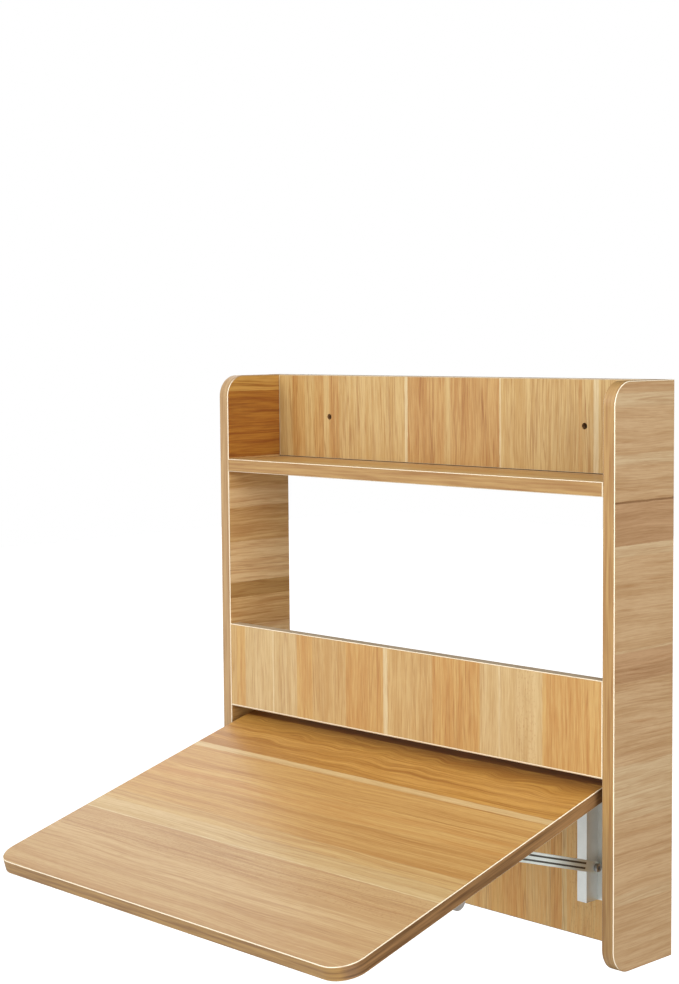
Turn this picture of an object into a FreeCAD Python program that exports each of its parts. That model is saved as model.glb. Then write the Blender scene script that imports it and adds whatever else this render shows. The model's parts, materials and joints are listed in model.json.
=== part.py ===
import FreeCAD, Part
import os
import re
import Sketcher

# Fold down wall desk, in millimetres.
# X runs to the right, Y back to the wall and Z up.
# The origin lies on the wall, midway between the two wall screws.
# Heights in the sheet count from the foot of the side panels, and distances "from_wall" from the wall plane.
SIZES = [
    # Carcass
    ("unit_width", 600),
    ("unit_height", 600),
    ("unit_depth", 98),
    ("board", 15),
    ("band", 1),
    ("band_chamfer", 0.7),
    ("side_corner_radius", 25),
    ("rail_height", 100),
    ("apron_height", 100),
    ("apron_to_leaf", 0.75),
    ("back_panel_rise", 36.2),
    ("wall_hole_spacing", 390),
    ("wall_hole_radius", 3.5),
    # Joinery between the boards
    ("fit_gap", 0.05),
    ("cam_radius", 7.45),
    ("cam_height", 12),
    ("cam_setback", 24),
    ("cam_bore_radius", 3.6),
    ("cam_bore_overrun", 4),
    ("bolt_thread_radius", 3),
    ("bolt_neck_radius", 2.5),
    ("bolt_head_radius", 3.3),
    ("bolt_head_length", 4),
    ("bolt_thread_length", 10),
    ("end_hole_radius", 4),
    ("dowel_radius", 4),
    ("dowel_in_side", 10),
    ("dowel_in_board", 20),
    ("shelf_dowel_offset", 120),
    # Leaf, laid out from its pivot
    ("leaf_side_gap", 10),
    ("leaf_depth", 400),
    ("leaf_corner_radius", 28),
    ("leaf_slope", 15.9),
    ("leaf_rise", 28),
    ("leaf_setback", 17.6),
    ("pivot_height", 156.25),
    ("pivot_from_wall", 39),
    # Folding bracket
    ("sheet_steel", 1.5),
    ("bracket_inset", 76.4),
    ("leg_width", 13),
    ("leg_depth", 20),
    ("leg_flange", 14),
    ("leg_drop", 111.25),
    ("leg_head", 12),
    ("ear_radius", 9),
    ("pivot_pin_radius", 3),
    ("pin_head_radius", 5),
    ("pin_head_length", 2),
    ("arm_play", 0.5),
    ("arm_length", 241),
    ("arm_drop", 7),
    ("arm_end_radius", 8),
    ("arm_nose_length", 27),
    ("arm_nose_drop", 14),
    ("slot_start", 98),
    ("slot_from_nose", 27),
    ("slot_radius", 3.2),
    # Strut
    ("strut_height", 12),
    ("strut_thickness", 5),
    ("strut_reach", 138.9),
    ("strut_play", 0.5),
    ("strut_from_wall", 25.2),
    ("strut_drop", 73.45),
    ("strut_tab_length", 20),
    ("strut_tab_thickness", 2.5),
    ("strut_groove_width", 2),
    ("strut_groove_depth", 1.2),
    ("strut_groove_offset", 2.6),
    ("strut_bolt_radius", 2.5),
    ("strut_bolt_head_radius", 4.5),
    ("strut_bolt_head_length", 4),
    ("strut_bolt_socket_radius", 2.3),
    ("strut_bolt_socket_depth", 2.2),
    ("strut_nut_radius", 4.4),
    ("strut_nut_height", 4),
    ("strut_spacer_wall", 1.4),
    ("slide_pin_radius", 2.5),
    ("slide_pin_head_radius", 4.5),
    ("slide_pin_head_length", 1.6),
    ("slide_pin_gap", 0.3),
    # Release lever
    ("lever_from_nose", 39),
    ("lever_pin_rise", 14),
    ("lever_pin_radius", 2),
    ("lever_thickness", 3),
    ("lever_width", 20),
    ("lever_length", 28),
    ("lever_tooth_length", 9),
    ("lever_tooth_height", 5),
    ("lever_tooth_drop", 10),
    ("spring_wire_radius", 0.5),
    ("spring_coil_radius", 3.2),
    ("spring_pitch", 1.1),
    ("spring_turns", 3),
    ("spring_gap", 0.3),
    # Screws
    ("screw_radius", 1.75),
    ("screw_length", 11),
    ("screw_head_radius", 3.4),
    ("screw_head_length", 1.6),
    ("screw_hole_radius", 2.1),
    ("leg_screw_inset", 14),
    ("leg_screw_edge", 4.5),
    ("arm_screw_first", 38),
    ("arm_screw_last", 73),
]

doc = FreeCAD.newDocument("fold_down_wall_desk")
sizes = doc.addObject("Spreadsheet::Sheet", "sizes")
for row, (alias, number) in enumerate(SIZES, start=1):
    sizes.set(f"A{row}", alias)
    sizes.set(f"B{row}", str(number))
    sizes.setAlias(f"B{row}", alias)
doc.recompute()

ALIAS_WORD = re.compile(r"\b(" + "|".join(alias for alias, number in SIZES) + r")\b")
TURN_FROM_Z = {
    "x": FreeCAD.Rotation(FreeCAD.Vector(0, 1, 0), 90),
    "y": FreeCAD.Rotation(FreeCAD.Vector(1, 0, 0), -90),
    "z": FreeCAD.Rotation(),
}
PLANE_AXES = {"XY_Plane": ("x", "y"), "XZ_Plane": ("x", "z"), "YZ_Plane": ("y", "z")}
SIDES = {"left": -1, "right": 1}
NODES = {}

# Places that many pieces share
ORIGIN_HEIGHT = "(unit_height - rail_height / 2)"
FOOT = f"(-{ORIGIN_HEIGHT})"
TOP = "(rail_height / 2)"
FRONT = "(-unit_depth)"
INNER = "(unit_width / 2 - board)"
SHELF_TOP = "(-rail_height / 2)"
PIVOT_Y = "(-pivot_from_wall)"
PIVOT_Z = f"(pivot_height - {ORIGIN_HEIGHT})"
STRUT_Y = "(-strut_from_wall)"
STRUT_Z = f"({PIVOT_Z} - strut_drop)"
BACK_PANEL_HEIGHT = "(pivot_height + back_panel_rise)"
# The raised leaf passes just under the apron.
APRON_FOOT = "(pivot_height + leaf_rise + board + apron_to_leaf)"
BRACKET_MIDDLE = f"({INNER} - bracket_inset)"
LEG_NEAR = f"({BRACKET_MIDDLE} - leg_width / 2)"
LEG_FAR = f"({BRACKET_MIDDLE} + leg_width / 2)"
SLOT_END = "(arm_length - slot_from_nose)"
LEVER_REACH = "(arm_length - lever_from_nose)"
ARM_INNER_NEAR = f"({LEG_NEAR} - arm_play)"
ARM_INNER_FAR = f"({LEG_FAR} + arm_play)"
ARM_NEAR = f"({ARM_INNER_NEAR} - sheet_steel)"
ARM_FAR = f"({ARM_INNER_FAR} + sheet_steel)"
STRUT_NEAR = f"({ARM_FAR} + strut_play)"
STRUT_FAR = f"({STRUT_NEAR} + strut_thickness)"
TAB_FAR = f"({STRUT_NEAR} + strut_tab_thickness)"
# The strut meets the arm's slot where its reach spans the distance from its bolt to the arm's line.
BOLT_TO_ARM = (
    "((pivot_from_wall - strut_from_wall) * sin(leaf_slope * 1 deg)"
    " + strut_drop * cos(leaf_slope * 1 deg))"
)
STRUT_TURN = f"(leaf_slope * 1 deg - asin({BOLT_TO_ARM} / strut_reach))"


# Expressions, bound to the sheet

def formula(text):
    return ALIAS_WORD.sub(r"sizes.\g<0>", text)


def value(text):
    return float(sizes.evalExpression(formula(text)))


def bind(thing, prop, text):
    thing.setExpression(prop, formula(text))


def place(thing, corner):
    for axis, text in zip("xyz", corner):
        bind(thing, f"Placement.Base.{axis}", text)


def hang(thing, pivot_y, pivot_z, angle):
    """Carries a piece from its pivot's own frame to the desk's frame, turned about X."""
    turn = FreeCAD.Rotation(FreeCAD.Vector(1, 0, 0), 1)
    thing.Placement = FreeCAD.Placement(FreeCAD.Vector(), turn)
    bind(thing, "Placement.Base.y", pivot_y)
    bind(thing, "Placement.Base.z", pivot_z)
    bind(thing, "Placement.Rotation.Angle", angle)


def hang_on_pivot(thing):
    hang(thing, PIVOT_Y, PIVOT_Z, "leaf_slope * 1 deg")


def hang_on_bolt(thing):
    hang(thing, STRUT_Y, STRUT_Z, STRUT_TURN)


def from_centre(side, near, far):
    """Start in X of a stretch between two distances from the desk's middle plane."""
    return near if side > 0 else f"(-({far}))"


# Plain solids

def rod(name, radius, length, start, axis):
    solid = doc.addObject("Part::Cylinder", name)
    solid.Placement = FreeCAD.Placement(FreeCAD.Vector(), TURN_FROM_Z[axis])
    bind(solid, "Radius", radius)
    bind(solid, "Height", length)
    place(solid, start)
    return solid


def cross_rod(name, side, radius, near, far, y, z):
    """A round bar along X between two distances from the middle plane."""
    return rod(name, radius, f"({far}) - ({near})", (from_centre(side, near, far), y, z), "x")


def cross_hex(name, side, radius, near, far, y, z):
    """A six-sided bar along X between two distances from the middle plane."""
    solid = doc.addObject("Part::Prism", name)
    solid.Polygon = 6
    solid.Placement = FreeCAD.Placement(FreeCAD.Vector(), TURN_FROM_Z["x"])
    bind(solid, "Circumradius", radius)
    bind(solid, "Height", f"({far}) - ({near})")
    place(solid, (from_centre(side, near, far), y, z))
    return solid


def fuse(name, shapes):
    joined = doc.addObject("Part::MultiFuse", name)
    joined.Shapes = shapes
    return joined


def cut(name, base, tools):
    result = doc.addObject("Part::Cut", name)
    result.Base = base
    result.Tool = tools[0] if len(tools) == 1 else fuse(f"{name}_tools", tools)
    return result


def node(name, thing):
    thing.Label = name
    NODES[name] = thing
    return thing


def group(name, solids):
    """Like fasteners, kept as separate solids of one node."""
    together = doc.addObject("Part::Compound", name)
    together.Links = solids
    return node(name, together)


# Sketched bodies

def new_body(name):
    return doc.addObject("PartDesign::Body", name)


def sketch_polygon(body, name, plane, offset, points):
    sketch = body.newObject("Sketcher::SketchObject", name)
    support = next(item for item in body.Origin.OriginFeatures if item.Role == plane)
    sketch.AttachmentSupport = [(support, "")]
    sketch.MapMode = "FlatFace"
    bind(sketch, "AttachmentOffset.Base.z", offset)
    corners = [FreeCAD.Vector(value(across), value(along), 0) for across, along in points]
    for index, corner in enumerate(corners):
        sketch.addGeometry(Part.LineSegment(corner, corners[(index + 1) % len(corners)]))
    for index in range(len(corners)):
        sketch.addConstraint(Sketcher.Constraint("Coincident", index, 2, (index + 1) % len(corners), 1))
    for index, corner in enumerate(points):
        for kind, text in zip(("DistanceX", "DistanceY"), corner):
            number = sketch.addConstraint(Sketcher.Constraint(kind, -1, 1, index, 1, value(text)))
            bind(sketch, f"Constraints[{number}]", text)
    return sketch


def pad(body, name, sketch, length):
    feature = body.newObject("PartDesign::Pad", name)
    feature.Profile = sketch
    bind(feature, "Length", length)
    return feature


def body_rod(body, kind, name, radius, length, start):
    """A round boss or bore along X in a body."""
    feature = body.newObject(f"PartDesign::{kind}Cylinder", name)
    feature.Placement = FreeCAD.Placement(FreeCAD.Vector(), TURN_FROM_Z["x"])
    bind(feature, "Radius", radius)
    bind(feature, "Height", length)
    place(feature, start)
    return feature


def body_box(body, kind, name, corner, size):
    feature = body.newObject(f"PartDesign::{kind}Box", name)
    for prop, text in zip(("Length", "Width", "Height"), size):
        bind(feature, prop, text)
    place(feature, corner)
    return feature


def corner_edges(shape, plane, corners):
    """Names of the straight edges square to the plane that stand on the given corners."""
    names = []
    for number, edge in enumerate(shape.Edges, start=1):
        ends = [[getattr(vertex.Point, axis) for axis in PLANE_AXES[plane]] for vertex in edge.Vertexes]
        for across, along in corners:
            if all(abs(end[0] - across) + abs(end[1] - along) < 1e-6 for end in ends):
                names.append(f"Edge{number}")
    return names


def rim_edges(shape, plane):
    """Names of the edges that run round the two faces parallel to the plane."""
    normal = next(axis for axis in "xyz" if axis not in PLANE_AXES[plane])
    levels = [getattr(vertex.Point, normal) for vertex in shape.Vertexes]
    names = []
    for number, edge in enumerate(shape.Edges, start=1):
        ends = [getattr(vertex.Point, normal) for vertex in edge.Vertexes]
        for level in (min(levels), max(levels)):
            if all(abs(end - level) < 1e-6 for end in ends):
                names.append(f"Edge{number}")
    return names


def slab(name, plane, offset, low, high, rounded, radius, chamfered):
    """A flat board blank: a sketched rectangle, padded, with some corners rounded and its rims eased."""
    body = new_body(name)
    corners = [(low[0], low[1]), (high[0], low[1]), (high[0], high[1]), (low[0], high[1])]
    sketch = sketch_polygon(body, f"{name}_outline", plane, offset, corners)
    last = pad(body, f"{name}_pad", sketch, "board")
    doc.recompute()
    if rounded:
        places = [(value(across), value(along)) for across, along in rounded]
        corner_fillet = body.newObject("PartDesign::Fillet", f"{name}_corners")
        corner_fillet.Base = (last, corner_edges(last.Shape, plane, places))
        bind(corner_fillet, "Radius", radius)
        last = corner_fillet
        doc.recompute()
    if chamfered:
        rim = body.newObject("PartDesign::Chamfer", f"{name}_rim")
        rim.Base = (last, rim_edges(last.Shape, plane))
        bind(rim, "Size", "band_chamfer")
        doc.recompute()
    return body


def banded_board(name, plane, offset, low, high, drills, rounded=(), radius="band"):
    """A board core and the strip glued round its four edges, both drilled alike."""
    inner_low = [f"({text}) + band" for text in low]
    inner_high = [f"({text}) - band" for text in high]
    inner_rounded = []
    for pair in rounded:
        moved = [f"({text}) {'+' if text == bottom else '-'} band" for text, bottom in zip(pair, low)]
        inner_rounded.append(moved)
    outer = slab(f"{name}_outer", plane, offset, low, high, rounded, radius, True)
    inner_radius = f"{radius} - band"
    core = slab(f"{name}_core", plane, offset, inner_low, inner_high, inner_rounded, inner_radius, False)
    board_node = cut(f"{name}_drilled", core, drills) if drills else core
    ring = cut(f"{name}_ring", outer, [core] + drills)
    return node(name, board_node), node(f"{name}_edge_band", ring)


# Joinery

drills = {"left_side_panel": [], "right_side_panel": [], "shelf_board": [], "top_back_rail": []}
drills.update({"front_apron": [], "lower_back_panel": [], "leaf_board": []})
cams = []
cam_bolts = []
dowels = []


def cam_joint(board_name, side_name, tag, y, z, cam_face, cam_axis):
    """A cam lock in a board's hidden face, drawing a bolt that is screwed into the side panel."""
    side = SIDES[side_name]
    name = f"{board_name}_{side_name}_{tag}"
    bolt_end = f"({INNER} + bolt_thread_length)"
    cam_centre = f"({INNER} - cam_setback)"
    cam_x = cam_centre if side > 0 else f"(-{cam_centre})"
    head_near = f"({cam_centre} - bolt_head_length / 2)"
    head_far = f"({cam_centre} + bolt_head_length / 2)"
    bore_near = f"({cam_centre} - cam_bore_overrun)"

    drills[f"{side_name}_side_panel"].append(
        cross_rod(f"{name}_side_hole", side, "bolt_thread_radius + fit_gap",
                  INNER, f"{bolt_end} + fit_gap", y, z))
    drills[board_name].append(
        cross_rod(f"{name}_end_hole", side, "end_hole_radius", cam_centre, INNER, y, z))
    if cam_axis == "y":
        cam_start = (cam_x, f"({cam_face}) - cam_height", z)
        hole_start = (cam_x, f"({cam_face}) - cam_height - fit_gap", z)
    else:
        cam_start = (cam_x, y, cam_face)
        hole_start = cam_start
    drills[board_name].append(
        rod(f"{name}_cam_hole", "cam_radius + fit_gap", "cam_height + fit_gap", hole_start, cam_axis))

    blank = rod(f"{name}_cam_blank", "cam_radius", "cam_height", cam_start, cam_axis)
    bore = cross_rod(f"{name}_cam_bore", side, "cam_bore_radius", bore_near, INNER, y, z)
    cams.append(cut(f"{name}_cam", blank, [bore]))
    cam_bolts.append(fuse(f"{name}_bolt", [
        cross_rod(f"{name}_thread", side, "bolt_thread_radius", INNER, bolt_end, y, z),
        cross_rod(f"{name}_neck", side, "bolt_neck_radius", head_far, INNER, y, z),
        cross_rod(f"{name}_head", side, "bolt_head_radius", head_near, head_far, y, z),
    ]))


def dowel_joint(board_name, side_name, y, z):
    """A wooden dowel between a board's end and the side panel."""
    side = SIDES[side_name]
    name = f"{board_name}_{side_name}_dowel"
    near = f"({INNER} - dowel_in_board)"
    far = f"({INNER} + dowel_in_side)"
    drills[board_name].append(
        cross_rod(f"{name}_board_hole", side, "dowel_radius + fit_gap", f"{near} - fit_gap", INNER, y, z))
    drills[f"{side_name}_side_panel"].append(
        cross_rod(f"{name}_side_hole", side, "dowel_radius + fit_gap", INNER, f"{far} + fit_gap", y, z))
    dowels.append(cross_rod(name, side, "dowel_radius", near, far, y, z))


# Boards that stand upright between the side panels: name, back face in Y, foot and height
UPRIGHT_BOARDS = {
    "top_back_rail": ("0", SHELF_TOP, "rail_height"),
    "front_apron": (f"({FRONT} + board)", f"({APRON_FOOT} - {ORIGIN_HEIGHT})", "apron_height"),
    "lower_back_panel": ("0", FOOT, BACK_PANEL_HEIGHT),
}
CAM_SHARES = {"low": "0.25", "high": "0.75"}
SHELF_MIDDLE = f"({SHELF_TOP} - board / 2)"

for side_name in SIDES:
    for board_name, (back, foot, height) in UPRIGHT_BOARDS.items():
        middle = f"({back} - board / 2)"
        for tag, share in CAM_SHARES.items():
            cam_joint(board_name, side_name, tag, middle, f"({foot} + {height} * {share})", back, "y")
        dowel_joint(board_name, side_name, middle, f"({foot} + {height} / 2)")
    for tag, share in CAM_SHARES.items():
        shelf_y = f"({FRONT} + unit_depth * {share})"
        cam_joint("shelf_board", side_name, tag, shelf_y, SHELF_MIDDLE, f"({SHELF_TOP} - board)", "z")
    dowel_joint("shelf_board", side_name, f"({FRONT} / 2)", SHELF_MIDDLE)

# Upright dowels keep the rail in line on the shelf.
for side_name, side in SIDES.items():
    dowel_x = "shelf_dowel_offset" if side > 0 else "(-shelf_dowel_offset)"
    rail_middle = "(-board / 2)"
    name = f"rail_foot_{side_name}_dowel"
    foot_z = f"({SHELF_TOP} - dowel_in_side)"
    length = "(dowel_in_side + dowel_in_board)"
    hole = rod(f"{name}_hole", "dowel_radius + fit_gap", f"{length} + 2 * fit_gap",
               (dowel_x, rail_middle, f"{foot_z} - fit_gap"), "z")
    drills["shelf_board"].append(hole)
    drills["top_back_rail"].append(hole)
    dowels.append(rod(name, "dowel_radius", length, (dowel_x, rail_middle, foot_z), "z"))

# Holes for the two wall screws
for side_name, side in SIDES.items():
    hole_x = "wall_hole_spacing / 2" if side > 0 else "(-wall_hole_spacing / 2)"
    drills["top_back_rail"].append(
        rod(f"wall_hole_{side_name}", "wall_hole_radius", "board", (hole_x, "(-board)", "0"), "y"))


# Screws that hold the brackets

leg_screws = []
arm_screws = []
SCREW_HEIGHTS = {
    "low": f"({PIVOT_Z} - leg_drop + leg_screw_inset)",
    "high": f"({PIVOT_Z} + leg_head - leg_screw_inset)",
}
FLANGE_SCREWS = {
    "near": f"({LEG_NEAR} - leg_flange + leg_screw_edge)",
    "far": f"({LEG_FAR} + leg_flange - leg_screw_edge)",
}
ARM_SCREW_COUNT = 3
ARM_SCREW_STEP = f"((arm_length - arm_screw_first - arm_screw_last) / {ARM_SCREW_COUNT - 1})"


def arm_screw_place(side, index):
    across = BRACKET_MIDDLE if side > 0 else f"(-{BRACKET_MIDDLE})"
    return across, f"(-(arm_screw_first + {ARM_SCREW_STEP} * {index}))"


def screw(name, head_start, shank_start, axis):
    """A pan-head screw: the shank runs on from the head through the sheet steel into the board."""
    return fuse(name, [
        rod(f"{name}_head", "screw_head_radius", "screw_head_length", head_start, axis),
        rod(f"{name}_shank", "screw_radius", "screw_length + sheet_steel", shank_start, axis),
    ])


def leg_screw_places(side):
    for across, screw_x in FLANGE_SCREWS.items():
        for along, screw_z in SCREW_HEIGHTS.items():
            yield f"{across}_{along}", screw_x if side > 0 else f"(-{screw_x})", screw_z


for side_name, side in SIDES.items():
    for tag, screw_x, screw_z in leg_screw_places(side):
        name = f"{side_name}_leg_screw_{tag}"
        flange_face = "(-board - sheet_steel)"
        head_start = (screw_x, f"({flange_face} - screw_head_length)", screw_z)
        leg_screws.append(screw(name, head_start, (screw_x, flange_face, screw_z), "y"))
        drills["lower_back_panel"].append(
            rod(f"{name}_pilot", "screw_radius + fit_gap", "screw_length + fit_gap",
                (screw_x, "(-board)", screw_z), "y"))
    for index in range(ARM_SCREW_COUNT):
        name = f"{side_name}_arm_screw_{index}"
        screw_x, screw_y = arm_screw_place(side, index)
        web_face = "(leaf_rise - sheet_steel)"
        head_start = (screw_x, screw_y, f"({web_face} - screw_head_length)")
        arm_screws.append(screw(name, head_start, (screw_x, screw_y, web_face), "z"))
        drills["leaf_board"].append(
            rod(f"{name}_pilot", "screw_radius + fit_gap", "screw_length + fit_gap",
                (screw_x, screw_y, "leaf_rise"), "z"))


# Boards of the carcass

for side_name, side in SIDES.items():
    front_corners = [(FRONT, FOOT), (FRONT, TOP)]
    banded_board(f"{side_name}_side_panel", "YZ_Plane", from_centre(side, INNER, "unit_width / 2"),
                 (FRONT, FOOT), ("0", TOP), drills[f"{side_name}_side_panel"],
                 front_corners, "side_corner_radius")

banded_board("shelf_board", "XY_Plane", f"{SHELF_TOP} - board",
             (f"(-{INNER})", FRONT), (INNER, "0"), drills["shelf_board"])

for board_name, (back, foot, height) in UPRIGHT_BOARDS.items():
    banded_board(board_name, "XZ_Plane", f"(-({back}))",
                 (f"(-{INNER})", foot), (INNER, f"({foot} + {height})"), drills[board_name])

group("cam_locks", cams)
group("cam_bolts", cam_bolts)
group("wooden_dowels", dowels)


# Leaf, in the frame of its pivot: forward is minus Y

LEAF_FRONT = "(-(leaf_setback + leaf_depth))"
LEAF_SIDE = f"({INNER} - leaf_side_gap)"
leaf_corners = [(f"(-{LEAF_SIDE})", LEAF_FRONT), (LEAF_SIDE, LEAF_FRONT)]
leaf_board, leaf_band = banded_board(
    "leaf_board", "XY_Plane", "leaf_rise",
    (f"(-{LEAF_SIDE})", LEAF_FRONT), (LEAF_SIDE, "(-leaf_setback)"), drills["leaf_board"],
    leaf_corners, "leaf_corner_radius")
hang_on_pivot(leaf_board)
hang_on_pivot(leaf_band)


# Folding brackets

def wall_leg(side_name, side):
    """A hat-shaped channel of sheet steel, with two ears that carry the arm's pivot pin."""
    body = new_body(f"{side_name}_leg_body")
    back = "(-board)"
    flange_face = f"({back} - sheet_steel)"
    front = f"({back} - leg_depth)"
    inside = f"({front} + sheet_steel)"
    profile = [
        (f"{LEG_NEAR} - leg_flange", back),
        (f"{LEG_NEAR} - leg_flange", flange_face),
        (LEG_NEAR, flange_face),
        (LEG_NEAR, front),
        (LEG_FAR, front),
        (LEG_FAR, flange_face),
        (f"{LEG_FAR} + leg_flange", flange_face),
        (f"{LEG_FAR} + leg_flange", back),
        (f"{LEG_FAR} - sheet_steel", back),
        (f"{LEG_FAR} - sheet_steel", inside),
        (f"{LEG_NEAR} + sheet_steel", inside),
        (f"{LEG_NEAR} + sheet_steel", back),
    ]
    points = [(from_centre(side, across, across), along) for across, along in profile]
    sketch = sketch_polygon(body, f"{side_name}_leg_profile", "XY_Plane", f"{PIVOT_Z} - leg_drop", points)
    pad(body, f"{side_name}_leg_pad", sketch, "leg_drop + leg_head")
    for tag, near in (("near", LEG_NEAR), ("far", f"({LEG_FAR} - sheet_steel)")):
        start = from_centre(side, near, f"{near} + sheet_steel")
        body_rod(body, "Additive", f"{side_name}_leg_ear_{tag}", "ear_radius", "sheet_steel",
                 (start, PIVOT_Y, PIVOT_Z))
    width_start = from_centre(side, LEG_NEAR, LEG_FAR)
    body_rod(body, "Subtractive", f"{side_name}_leg_pivot_hole", "pivot_pin_radius + fit_gap", "leg_width",
             (width_start, PIVOT_Y, PIVOT_Z))
    wall_start = from_centre(side, f"{LEG_FAR} - sheet_steel", LEG_FAR)
    body_rod(body, "Subtractive", f"{side_name}_leg_bolt_hole", "strut_bolt_radius + fit_gap", "sheet_steel",
             (wall_start, STRUT_Y, STRUT_Z))
    holes = []
    for tag, screw_x, screw_z in leg_screw_places(side):
        holes.append(rod(f"{side_name}_leg_hole_{tag}", "screw_hole_radius", "sheet_steel",
                         (screw_x, flange_face, screw_z), "y"))
    return cut(f"{side_name}_leg_drilled", body, holes)


def arm(side_name, side):
    """A channel of sheet steel under the leaf, open below, slotted for the strut's slide pin."""
    body = new_body(f"{side_name}_arm_body")
    nose = "(-arm_length)"
    wall = [
        ("0", "(-arm_drop)"),
        ("(arm_nose_length - arm_length)", "(-arm_drop)"),
        (nose, "arm_nose_drop"),
        (nose, "leaf_rise"),
        ("(-leaf_setback)", "leaf_rise"),
        ("(arm_drop)", "(arm_drop / 2)"),
    ]
    start = from_centre(side, ARM_NEAR, ARM_FAR)
    width = f"({ARM_FAR} - {ARM_NEAR})"
    sketch = sketch_polygon(body, f"{side_name}_arm_outline", "YZ_Plane", start, wall)
    pad(body, f"{side_name}_arm_pad", sketch, width)
    body_rod(body, "Additive", f"{side_name}_arm_eye", "arm_end_radius", width, (start, "0", "0"))
    inner_start = from_centre(side, ARM_INNER_NEAR, ARM_INNER_FAR)
    inner_width = f"({ARM_INNER_FAR} - {ARM_INNER_NEAR})"
    channel_foot = "(-2 * arm_end_radius)"
    body_box(body, "Subtractive", f"{side_name}_arm_channel",
             (inner_start, "(-arm_length)", channel_foot),
             (inner_width, "arm_length + 2 * arm_end_radius", f"leaf_rise - sheet_steel - {channel_foot}"))
    body_box(body, "Subtractive", f"{side_name}_arm_slot",
             (start, f"(-{SLOT_END})", "(-slot_radius)"),
             (width, f"{SLOT_END} - slot_start", "2 * slot_radius"))
    for tag, reach in (("rear", "slot_start"), ("front", SLOT_END)):
        body_rod(body, "Subtractive", f"{side_name}_arm_slot_{tag}", "slot_radius", width,
                 (start, f"(-{reach})", "0"))
    body_rod(body, "Subtractive", f"{side_name}_arm_pivot_hole", "pivot_pin_radius + fit_gap", width,
             (start, "0", "0"))
    body_rod(body, "Subtractive", f"{side_name}_arm_lever_hole", "lever_pin_radius + fit_gap", width,
             (start, f"(-{LEVER_REACH})", "lever_pin_rise"))
    holes = []
    for index in range(ARM_SCREW_COUNT):
        hole_x, hole_y = arm_screw_place(side, index)
        holes.append(rod(f"{side_name}_arm_hole_{index}", "screw_hole_radius", "sheet_steel",
                         (hole_x, hole_y, "leaf_rise - sheet_steel"), "z"))
    return cut(f"{side_name}_arm_drilled", body, holes)


def pivot_pin(side_name, side):
    """The headed pin that joins an arm to its wall leg."""
    shank = cross_rod(f"{side_name}_pivot_shank", side, "pivot_pin_radius",
                      ARM_NEAR, ARM_FAR, PIVOT_Y, PIVOT_Z)
    near_head = cross_rod(f"{side_name}_pivot_near_head", side, "pin_head_radius",
                          f"{ARM_NEAR} - pin_head_length", ARM_NEAR, PIVOT_Y, PIVOT_Z)
    far_head = cross_rod(f"{side_name}_pivot_far_head", side, "pin_head_radius",
                         ARM_FAR, f"{ARM_FAR} + pin_head_length", PIVOT_Y, PIVOT_Z)
    return fuse(f"{side_name}_pivot_pin_solid", [shank, near_head, far_head])


def strut(side_name, side):
    """A grooved bar with a flat round tab at its bolt, in the frame of that bolt."""
    body = new_body(f"{side_name}_strut_body")
    start = from_centre(side, STRUT_NEAR, STRUT_FAR)
    tab_start = from_centre(side, STRUT_NEAR, TAB_FAR)
    half = "(strut_height / 2)"
    tip = "(-strut_reach)"
    bar_length = "strut_reach - strut_tab_length"
    body_box(body, "Additive", f"{side_name}_strut_bar",
             (start, tip, f"(-{half})"), ("strut_thickness", bar_length, "strut_height"))
    body_rod(body, "Additive", f"{side_name}_strut_tip", half, "strut_thickness", (start, tip, "0"))
    body_box(body, "Additive", f"{side_name}_strut_tab",
             (tab_start, "(-strut_tab_length)", f"(-{half})"),
             ("strut_tab_thickness", "strut_tab_length", "strut_height"))
    body_rod(body, "Additive", f"{side_name}_strut_eye", half, "strut_tab_thickness", (tab_start, "0", "0"))
    groove_start = from_centre(side, f"{STRUT_FAR} - strut_groove_depth", STRUT_FAR)
    groove_length = f"{bar_length} - strut_height"
    for tag, middle in (("low", "(-strut_groove_offset)"), ("high", "strut_groove_offset")):
        body_box(body, "Subtractive", f"{side_name}_strut_groove_{tag}",
                 (groove_start, f"{tip} + strut_height", f"{middle} - strut_groove_width / 2"),
                 ("strut_groove_depth", groove_length, "strut_groove_width"))
    body_rod(body, "Subtractive", f"{side_name}_strut_bolt_hole", "strut_bolt_radius + fit_gap",
             "strut_tab_thickness", (tab_start, "0", "0"))
    body_rod(body, "Subtractive", f"{side_name}_strut_pin_hole", "slide_pin_radius + fit_gap",
             "strut_thickness", (start, tip, "0"))
    return body


def slide_pin(side_name, side):
    """The headed pin at the strut's tip, which runs along the arm's slot."""
    near = f"({ARM_FAR} + slide_pin_gap)"
    shank = cross_rod(f"{side_name}_slide_shank", side, "slide_pin_radius",
                      near, STRUT_FAR, "(-strut_reach)", "0")
    head = cross_rod(f"{side_name}_slide_head", side, "slide_pin_head_radius",
                     STRUT_FAR, f"{STRUT_FAR} + slide_pin_head_length", "(-strut_reach)", "0")
    return fuse(f"{side_name}_slide_pin_solid", [shank, head])


def strut_bolt(side_name, side):
    """The socket-head bolt that the strut turns on."""
    nut_near = f"({LEG_FAR} - sheet_steel - strut_nut_height)"
    head_far = f"({TAB_FAR} + strut_bolt_head_length)"
    shank = cross_rod(f"{side_name}_bolt_shank", side, "strut_bolt_radius",
                      nut_near, TAB_FAR, STRUT_Y, STRUT_Z)
    head = cross_rod(f"{side_name}_bolt_head", side, "strut_bolt_head_radius",
                     TAB_FAR, head_far, STRUT_Y, STRUT_Z)
    socket = cross_hex(f"{side_name}_bolt_socket", side, "strut_bolt_socket_radius",
                       f"{head_far} - strut_bolt_socket_depth", head_far, STRUT_Y, STRUT_Z)
    return cut(f"{side_name}_bolt_solid", fuse(f"{side_name}_bolt_blank", [shank, head]), [socket])


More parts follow.
